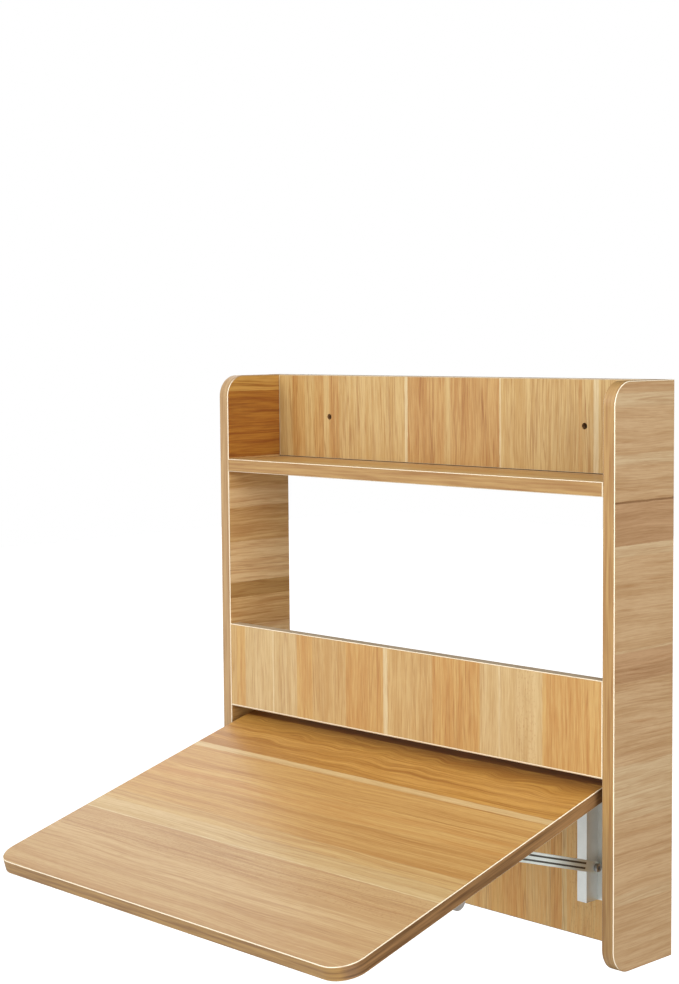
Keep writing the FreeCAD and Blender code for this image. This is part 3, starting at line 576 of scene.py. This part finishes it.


# %% [markdown]
# Planks of each board
#
# The print runs upright on the rail, the apron and the lower back panel, from wall to front on the side
# panels, and from left to right on the shelf and the leaf. Each board is cut from another part of the
# printed sheet, so each has its own row of planks. A cream rim runs along the foot of the apron. The leaf
# turns on its pivot, so its print is laid out from there and turned with the leaf's slope. Its rearmost
# plank, under the apron, is painted shade: a dark tone that stands for the apron's shadow on the leaf.

# %% Rail, apron and lower back panel
UPRIGHT = {"across": "X", "along": "Z", "through": "Y"}
RAIL_PLANKS = [
    (-285, CREAM), (-283, OAK_PALE), (-262, OAK), (-239, OAK_PALE), (-222, OAK), (-205, OAK_PALE),
    (-196, OAK), (-179, OAK_PALE), (-149, CREAM), (-147.5, OAK_PALE), (-71, CREAM), (-66, OAK),
    (-7, OAK_PALE), (2, OAK), (74, CREAM), (76, OAK_PALE), (152.5, BROWN), (153, OAK_PALE), (185, OAK),
    (190, OAK_PALE), (207, CREAM), (213, OAK_PALE), (285, OAK_PALE),
]
APRON_PLANKS = [
    (-285, HONEY), (-276, ORANGE), (-260, PALE), (-210.5, CREAM), (-209, PALE), (-169, CREAM), (-167, ORANGE),
    (-141, HONEY), (-86.4, BROWN), (-86, ORANGE), (-26, CREAM), (-18, HONEY), (51, ORANGE), (93.6, BROWN),
    (94, ORANGE), (119, PALE), (146.5, CREAM), (148, PALE), (205.7, BROWN), (206, ORANGE), (285, ORANGE),
]
BACK_PLANKS = [
    (-285, SUNNY), (-232, SUNNY_DEEP), (-180, SUNNY_PALE), (-121, SUNNY), (-66, SUNNY_PALE),
    (-60, SUNNY_DEEP), (4, SUNNY), (61, SUNNY_DEEP), (112, SUNNY), (148, SUNNY_DEEP), (164, SUNNY_PALE),
    (170, SUNNY), (232, SUNNY_DEEP), (285, SUNNY_DEEP),
]
RIM_WIDTH = 0.0009

apron_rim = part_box("front_apron")[0][2] + RIM_WIDTH
rail_print = wood_print("rail_print", UPRIGHT, RAIL_PLANKS, veining=0.6)
apron_print = wood_print("apron_print", UPRIGHT, APRON_PLANKS, flecks=[(171, 198)], rim=apron_rim)
back_panel_print = wood_print("back_panel_print", UPRIGHT, BACK_PLANKS, veining=0.6, flecks=[(176, 215)])
dress("top_back_rail", rail_print)
dress("front_apron", apron_print)
dress("lower_back_panel", back_panel_print)

# %% Side panels
WALL_TO_FRONT = {"across": "Z", "along": "Y", "through": "X"}
FOOT = -550.0
RIGHT_PLANKS = [
    (0, FAWN), (70, FAWN_PALE), (82, FAWN), (156, FAWN_PALE), (213, FAWN), (297, FAWN_BROWN),
    (326, FAWN_DARK), (326.8, FAWN_PALE), (328.4, FAWN), (424, FAWN_PALE), (435, FAWN_BROWN),
    (478, FAWN_DARK), (478.8, FAWN_PALE), (480, FAWN), (514, FAWN_PALE), (526, FAWN), (572, FAWN_PALE),
    (586, FAWN), (600, FAWN),
]
LEFT_PLANKS = [
    (0, WARM_FAWN), (70, WARM_BROWN), (150, BROWN), (210, WARM_FAWN), (293, WARM_BROWN), (329, BROWN),
    (349, WARM_FAWN), (398, WARM_BROWN), (440, WARM_FAWN), (464, WARM_BROWN), (500, RUST), (545, AMBER),
    (545.8, RUST), (557, AMBER), (557.8, RUST), (580, GOLD), (600, GOLD),
]


def from_foot(planks):
    """Planks that are counted up from the foot of a side panel, in millimetres."""
    return [(start + FOOT, tones) for start, tones in planks]


right_side_print = wood_print("right_side_print", WALL_TO_FRONT, from_foot(RIGHT_PLANKS), 0.35, grain=0.03)
left_side_print = wood_print("left_side_print", WALL_TO_FRONT, from_foot(LEFT_PLANKS), 0.6, grain=0.03)
dress("right_side_panel", right_side_print)
dress("left_side_panel", left_side_print)

# %% Shelf and leaf
LEFT_TO_RIGHT = {"across": "Y", "along": "X", "through": "Z"}
LEAF_PIVOT = (0, -0.039, -0.39375)
LEAF_SLOPE = math.radians(15.9)
SHELF_PLANKS = [(-98, HONEY), (-70, AMBER), (-34, TAN), (0, TAN)]
# The last plank, from -33.5 mm to the leaf's rear edge, is painted shade: the apron's shadow laid into the
# print.
LEAF_PLANKS = [
    (-418, SAND), (-366, SAND_PALE), (-330, SAND), (-287, CREAM), (-285, PALE), (-262, HONEY), (-244, AMBER),
    (-198, ORANGE), (-162, AMBER), (-122, PALE), (-114, GOLD), (-60, UMBER), (-33.5, PAINTED_APRON_SHADOW), (-17, PAINTED_APRON_SHADOW),
]

shelf_print = wood_print("shelf_print", LEFT_TO_RIGHT, SHELF_PLANKS)
leaf_print = wood_print("leaf_print", LEFT_TO_RIGHT, LEAF_PLANKS, grain=0.015, flecks=[(-330, -290)],
                        waves=(-110, -50), place=LEAF_PIVOT, turn=LEAF_SLOPE)
dress("shelf_board", shelf_print)
dress("leaf_board", leaf_print)

# %% [markdown]
# Edge bands
#
# A thin strip is glued round each board. Its face carries the same wood print, with the grain along the
# strip. Where the strip's corners are eased, the pale plastic under the print shows as a fine cream line.
# The line could be a piece of its own. Here the strip's finish finds the eased corners by the way they
# face, so the line is always exactly on them. Only some sides of a board show it: the sides that are listed.
# The strip under the rail lies in the joint with the shelf, and its dark colour there is a painted shadow of
# that joint.

# %% Edge band finish
BAND_HONEY = (tone(172, 125, 68), tone(202, 161, 99))
BAND_AMBER = (tone(150, 108, 54), tone(190, 148, 84))
BAND_TAN = (tone(178, 138, 90), tone(206, 170, 120))
BAND_BROWN = (tone(112, 78, 45), tone(170, 128, 82))
BAND_GREY = (tone(200, 180, 150), tone(224, 204, 174))
# Painted shadow: the colour of the rail strip's underside, where it stands in the joint with the shelf.
JOINT_SHADOW = tone(70, 44, 22)
BAND_STRETCH = 0.03
BAND_STREAKS = {"scale": 300.0, "detail": 4.0, "roughness": 0.6}
BAND_STREAK_SPAN = (0.36, 0.62)
BAND_FIBRES = {"scale": 1100.0, "detail": 2.0}
BAND_FIBRE_TINTS = [(0.35, (0.84, 0.78, 0.70)), (0.6, (1.0, 1.0, 1.0))]
END_SPAN = (0.6, 0.8)
EASED_SPAN = (0.3, 0.5)
SIDE_SPAN = (0.3, 0.6)
JOINT_SHADOW_SPAN = (0.3, 0.5)
BAND_ROUGHNESS = (0.48, 0.38)
BAND_BUMP = {"Strength": 0.05, "Distance": 0.0002}


def largest(tree, directions):
    """The squarest of a surface's facings to several directions."""
    best = facing(tree, directions[0])
    for direction in directions[1:]:
        best = maths(tree, "MAXIMUM", best, facing(tree, direction))
    return best


def streaked(tree, share, tones):
    return blend_colours(tree, "MIX", share, opaque(tones[0]), opaque(tones[1]))


def edge_band(name, through, tones, lines, ends=None, end_tones=None, joint=None, tip=None,
              place=(0, 0, 0), turn=0.0):
    """A strip round a board. Lines lists the sides with a cream line, ends is the axis of other tones."""
    finish, tree, shader = new_finish(name)
    parts = split(tree, board_place(tree, place, turn))
    axes = board_axes(turn)
    one, two = [letter for letter in "XYZ" if letter != through]
    along = maths(tree, "ADD", parts[one], parts[two])
    grain = combine(tree, parts[through], scaled(tree, along, BAND_STRETCH), 0.0)
    fibres = noise(tree, grain, **BAND_FIBRES)
    share = stretch(tree, noise(tree, grain, **BAND_STREAKS), *BAND_STREAK_SPAN)
    colour = streaked(tree, share, tones)
    if ends:
        at_end = stretch(tree, facing_either(tree, axes[ends]), *END_SPAN)
        colour = blend_colours(tree, "MIX", at_end, colour, streaked(tree, share, end_tones))
    colour = blend_colours(tree, "MULTIPLY", FIBRE_DEPTH, colour, ramp(tree, fibres, BAND_FIBRE_TINTS))
    eased = stretch(tree, facing_either(tree, axes[through]), *EASED_SPAN)
    sides = [tuple(sign * part for part in axes[letter]) for sign, letter in lines]
    shown = maths(tree, "MULTIPLY", eased, stretch(tree, largest(tree, sides), *SIDE_SPAN))
    colour = cover(tree, colour, shown, BAND_CREAM)
    if tip:
        colour = cover(tree, colour, maths(tree, "GREATER_THAN", parts["X"], tip), BAND_CREAM)
    # Painted shadow: faces that look towards this side, into the joint, take the shadow colour.
    if joint:
        colour = cover(tree, colour, stretch(tree, facing(tree, joint), *JOINT_SHADOW_SPAN), JOINT_SHADOW)
    surface(tree, shader, colour, fibres, BAND_ROUGHNESS, fibres, BAND_BUMP)
    print(name, "has a cream line on", len(lines), "sides")
    return finish


# %% Bands of the boards
FRONT_ONLY = [(-1, "Y")]
FRONT_AND_TOP = [(-1, "Y"), (1, "Z")]
BOTH_ENDS = [(-1, "X"), (1, "X")]
ALL_ROUND = [(-1, "X"), (1, "X"), (-1, "Z"), (1, "Z")]
LEAF_ROUND = [(1, "X"), (-1, "Y"), (1, "Y")]
DOWN = (0, 0, -1)
SHELF_TIP = 0.2841

apron_band = edge_band("apron_band", "Y", BAND_HONEY, ALL_ROUND, ends="Z", end_tones=BAND_GREY)
leaf_band = edge_band("leaf_band", "Z", BAND_AMBER, LEAF_ROUND, ends="X", end_tones=BAND_BROWN,
                      place=LEAF_PIVOT, turn=LEAF_SLOPE)
dress("left_side_panel_edge_band", edge_band("left_side_band", "X", BAND_TAN, FRONT_ONLY))
dress("right_side_panel_edge_band", edge_band("right_side_band", "X", BAND_HONEY, FRONT_AND_TOP))
# The rail's strip has a painted shadow on its underside, in the joint with the shelf.
dress("top_back_rail_edge_band", edge_band("rail_band", "Y", BAND_GREY, BOTH_ENDS, joint=DOWN))
dress("front_apron_edge_band", apron_band)
dress("lower_back_panel_edge_band", edge_band("back_panel_band", "Y", BAND_HONEY, BOTH_ENDS))
dress("shelf_board_edge_band", edge_band("shelf_band", "Z", BAND_HONEY, FRONT_ONLY, tip=SHELF_TIP))
dress("leaf_board_edge_band", leaf_band)

# %% [markdown]
# Metal and dowels
#
# The brackets are zinc-plated sheet steel: pale grey with a faint cloud in the plating and a fine grit. The
# struts are a little brighter, and their grooves are darkened with painted shade. The release levers are of a
# browner steel, and the bolts and springs of a dark one. The cam fittings are cast zinc, and the dowels are
# beech.
# Each finish is noise at the size of the real grain of that material.

# %% Steel and zinc
CLOUD = {"detail": 3.0, "roughness": 0.55}
CLOUD_SHARE = 0.75
GRIT = {"detail": 2.0}
GRIT_SHARE = 0.25
GRIT_FINER = 14
METAL_BUMP = {"Strength": 0.04, "Distance": 0.0001}
# Painted shade: the tint that darkens the faces inside the strut's grooves.
GROOVE_SHADE = (0.12, 0.11, 0.10)
STRUT_GROOVE = (0.2209, 0.2217)


def metal(name, dark, pale, cloud_scale, roughness, metallic=1.0, groove=None):
    """Plated metal. A face that lies between the two distances of groove from the middle plane is dark."""
    finish, tree, shader = new_finish(name)
    where = object_place(tree)
    cloud = noise(tree, where, cloud_scale, **CLOUD)
    grit = noise(tree, where, cloud_scale * GRIT_FINER, **GRIT)
    mixed = maths(tree, "MULTIPLY_ADD", cloud, CLOUD_SHARE, scaled(tree, grit, GRIT_SHARE))
    colour = ramp(tree, mixed, list(zip(NOISE_SPAN, (dark, pale))))
    # Painted shade: faces inside the grooves are darkened as if they lay in shadow.
    if groove:
        aside = maths(tree, "ABSOLUTE", split(tree, where)["X"])
        colour = darken(tree, colour, between(tree, aside, *groove), GROOVE_SHADE)
    surface(tree, shader, colour, mixed, roughness, grit, METAL_BUMP)
    shader.inputs["Metallic"].default_value = metallic
    print(name, "has clouds of scale", cloud_scale)
    return finish


plated_steel = metal("plated_steel", (0.74, 0.78, 0.76), (0.82, 0.86, 0.84), cloud_scale=60.0,
                     roughness=(0.42, 0.34), metallic=0.5)
drawn_steel = metal("drawn_steel", (0.74, 0.84, 0.82), (0.84, 0.94, 0.92), cloud_scale=60.0,
                    roughness=(0.36, 0.28), metallic=0.35, groove=STRUT_GROOVE)
bolt_steel = metal("bolt_steel", (0.34, 0.35, 0.36), (0.46, 0.47, 0.48), cloud_scale=200.0,
                   roughness=(0.42, 0.30))
lever_steel = metal("lever_steel", (0.46, 0.43, 0.40), (0.56, 0.53, 0.50), cloud_scale=120.0,
                    roughness=(0.42, 0.30), metallic=0.5)
cast_zinc = metal("cast_zinc", (0.58, 0.58, 0.57), (0.72, 0.72, 0.71), cloud_scale=300.0,
                  roughness=(0.5, 0.35), metallic=0.5)
dress("cam_bolts", cast_zinc)

# %% Beech
BEECH_STRETCH = (0.1, 1.0, 1.0)
BEECH_RAYS = {"scale": 900.0, "detail": 3.0}
BEECH_TONES = [(0.35, (0.52, 0.34, 0.18)), (0.65, (0.68, 0.49, 0.29))]
BEECH_ROUGHNESS = 0.65

beech, tree, shader = new_finish("beech_dowel")
length = put(tree, "ShaderNodeMapping", {"Vector": object_place(tree), "Scale": BEECH_STRETCH})
rays = noise(tree, length.outputs["Vector"], **BEECH_RAYS)
tree.links.new(ramp(tree, rays, BEECH_TONES), shader.inputs["Base Color"])
shader.inputs["Roughness"].default_value = BEECH_ROUGHNESS
dress("wooden_dowels", beech)
print("dowels of beech dressed")

# %% [markdown]
# Steel pieces with eased edges
#
# Real sheet steel is bent, punched and tumbled, so no edge is knife sharp, and each eased edge catches a
# thin line of light. The pieces could be modelled from nothing, but they must fit their pins and slots. So
# each one starts as a copy of its solid: the loose triangles are merged, flat faces are joined again, and
# the bevel modifier eases every sharp edge. Smooth shading alone would let the eased edges bend the light on
# the flat faces too, so a weighted normal modifier keeps the large faces level.

# %% Copy a solid and ease its edges
bodies = frame["record"]["behaviour"]["bodies"]
body_of = {node_name: body for body, names in bodies.items() for node_name in names}
MERGE_WITHIN = 0.000002
FLAT_WITHIN = math.radians(1)
SHARP_FROM = math.radians(35)
EASE_STEPS = 2
BEND_STEPS = 4


def pick(*pieces):
    """Select these pieces alone and make the first one active."""
    bpy.ops.object.select_all(action="DESELECT")
    for piece in pieces:
        piece.select_set(True)
    bpy.context.view_layer.objects.active = pieces[0]


def merged_copy(node_name):
    piece = bpy.data.objects.new(f"{node_name}_eased", solids[node_name].data.copy())
    bpy.context.scene.collection.objects.link(piece)
    pick(piece)
    bpy.ops.mesh.customdata_custom_splitnormals_clear()
    bpy.ops.object.mode_set(mode="EDIT")
    bpy.ops.mesh.select_all(action="SELECT")
    bpy.ops.mesh.remove_doubles(threshold=MERGE_WITHIN)
    bpy.ops.mesh.dissolve_limited(angle_limit=FLAT_WITHIN)
    bpy.ops.object.mode_set(mode="OBJECT")
    return piece


def ease(piece, width):
    bevel = piece.modifiers.new("eased_edges", "BEVEL")
    bevel.width = width
    bevel.segments = EASE_STEPS
    bevel.limit_method = "ANGLE"
    bevel.angle_limit = SHARP_FROM
    bpy.ops.object.modifier_apply(modifier=bevel.name)


def round_edges(piece, is_wanted, radius):
    """Bevel the edges that a test picks by their two ends."""
    bpy.ops.object.mode_set(mode="EDIT")
    bpy.ops.mesh.select_mode(type="EDGE")
    bpy.ops.mesh.select_all(action="DESELECT")
    bpy.ops.object.mode_set(mode="OBJECT")
    points = piece.data.vertices
    for edge in piece.data.edges:
        one, two = (points[index].co for index in edge.vertices)
        edge.select = is_wanted(one, two)
    print(piece.name, "has", sum(edge.select for edge in piece.data.edges), "rounded edges")
    bpy.ops.object.mode_set(mode="EDIT")
    bpy.ops.mesh.bevel(offset=radius, segments=BEND_STEPS, affect="EDGES", clamp_overlap=True)
    bpy.ops.object.mode_set(mode="OBJECT")


def hand_over(piece, node_name, finish):
    """Shade a finished piece and let it take the place of its solid."""
    bpy.ops.object.shade_smooth_by_angle(angle=SHARP_FROM)
    level = piece.modifiers.new("level_faces", "WEIGHTED_NORMAL")
    level.keep_sharp = True
    bpy.ops.object.modifier_apply(modifier=level.name)
    piece.data.materials.clear()
    piece.data.materials.append(finish)
    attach(piece, body_of[node_name])
    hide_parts(node_name)
    print(piece.name, len(piece.data.polygons), "faces")


# %% Pins, arms, levers and bolts
EASED_BY = {
    "pivot_pin": (0.0006, plated_steel),
    "arm": (0.0003, plated_steel),
    "slide_pin": (0.0004, plated_steel),
    "strut_nut": (0.0003, plated_steel),
    "strut_spacer": (0.0003, plated_steel),
    "lever_pin": (0.0003, plated_steel),
    "release_lever": (0.0004, lever_steel),
    "strut_bolt": (0.0005, bolt_steel),
}
for side in ("left", "right"):
    for kind, (width, finish) in EASED_BY.items():
        node_name = f"{side}_{kind}"
        piece = merged_copy(node_name)
        ease(piece, width)
        hand_over(piece, node_name, finish)
    dress(f"{side}_lever_spring", bolt_steel)

# %% [markdown]
# Legs and struts
#
# A wall leg is bent from one strip, so its long corners are round. A strut is drawn through a die that leaves
# three round ridges along it. The long edges at the front of the leg and on the outer face of the strut are
# picked by their place and length and bevelled in edit mode, before the modifier eases the rest.

# %% Legs with round bends, struts with round ridges
BEND_RADIUS = 0.0016
RIDGE_RADIUS = 0.0009
LEG_EASE = 0.00025
STRUT_EASE = 0.0002
LEG_LOW = -0.45
LONG_EDGE = 0.05
SAME_PLACE = 0.0001

for side in ("left", "right"):
    leg = merged_copy(f"{side}_wall_leg")
    front = min(point.co.y for point in leg.data.vertices if point.co.z < LEG_LOW)
    round_edges(leg, lambda one, two: abs(one.z - two.z) > LONG_EDGE
                and one.y < front + SAME_PLACE, BEND_RADIUS)
    ease(leg, LEG_EASE)
    hand_over(leg, f"{side}_wall_leg", plated_steel)

    strut = merged_copy(f"{side}_strut")
    outer = max(abs(point.co.x) for point in strut.data.vertices)
    round_edges(strut, lambda one, two: min(abs(one.x), abs(two.x)) > outer - SAME_PLACE
                and (one - two).length > LONG_EDGE, RIDGE_RADIUS)
    ease(strut, STRUT_EASE)
    hand_over(strut, f"{side}_strut", drawn_steel)

# %% [markdown]
# Screws and cam locks
#
# The screws have a pan head and a cross recess, and a cam lock has a cross slot for the screwdriver. The
# cross is two small blocks, added across each other on the head, and a boolean modifier cuts them out.

# %% Cut a cross into a head
def separate_solids(node_name):
    """One object for each separate solid of a node."""
    merged_copy(node_name)
    bpy.ops.object.mode_set(mode="EDIT")
    bpy.ops.mesh.select_all(action="SELECT")
    bpy.ops.mesh.separate(type="LOOSE")
    bpy.ops.object.mode_set(mode="OBJECT")
    return list(bpy.context.selected_objects)


def crossed_blocks(place, direction, length, width, depth):
    """Two blocks across each other, sunk by depth into the face at place that looks along direction."""
    bpy.ops.object.select_all(action="DESELECT")
    turn = Vector(direction).to_track_quat("Z", "X").to_euler()
    blocks = []
    for along, across in ((length, width), (width, length)):
        bpy.ops.mesh.primitive_cube_add(size=1, location=place, rotation=turn)
        block = bpy.context.object
        block.scale = (along, across, 2 * depth)
        blocks.append(block)
    pick(*blocks)
    bpy.ops.object.transform_apply(location=True, rotation=True, scale=True)
    return blocks


def cut_cross(piece, place, direction, cross):
    for block in crossed_blocks(place, direction, **cross):
        bpy.context.view_layer.objects.active = piece
        cutter = piece.modifiers.new("cross", "BOOLEAN")
        cutter.operation = "DIFFERENCE"
        cutter.object = block
        bpy.ops.object.modifier_apply(modifier=cutter.name)
        bpy.data.objects.remove(block)


def box_of(piece):
    corners = [point.co for point in piece.data.vertices]
    low = Vector([min(corner[axis] for corner in corners) for axis in range(3)])
    high = Vector([max(corner[axis] for corner in corners) for axis in range(3)])
    return low, high


def crossed_fasteners(node_name, direction_of, width, cross, finish):
    """Ease every solid of a node, cut its cross, and join all of them into one piece again."""
    parts = separate_solids(node_name)
    for part in parts:
        pick(part)
        direction = Vector(direction_of(part))
        low, high = box_of(part)
        middle = (low + high) / 2
        reach = max(direction.dot(point.co) for point in part.data.vertices)
        place = middle + direction * (reach - direction.dot(middle))
        ease(part, width)
        cut_cross(part, place, direction, cross)
    pick(*parts)
    bpy.ops.object.join()
    joined = bpy.context.object
    joined.name = f"{node_name}_crossed"
    hand_over(joined, node_name, finish)


# %% Screws of legs and arms, cam locks
SCREW_EASE = 0.0007
SCREW_CROSS = {"length": 0.0034, "width": 0.0008, "depth": 0.0010}
CAM_EASE = 0.0004
CAM_CROSS = {"length": 0.0090, "width": 0.0018, "depth": 0.0022}


def cam_direction(part):
    """A shelf's cam lock shows below the board, every other one behind its board."""
    low, high = box_of(part)
    size = high - low
    return (0, 0, -1) if size.z < size.y else (0, 1, 0)


def leg_screw_direction(part):
    return (0, -1, 0)


def arm_screw_direction(part):
    return (0, math.sin(LEAF_SLOPE), -math.cos(LEAF_SLOPE))


crossed_fasteners("leg_screws", leg_screw_direction, SCREW_EASE, SCREW_CROSS, plated_steel)
crossed_fasteners("arm_screws", arm_screw_direction, SCREW_EASE, SCREW_CROSS, plated_steel)
crossed_fasteners("cam_locks", cam_direction, CAM_EASE, CAM_CROSS, cast_zinc)
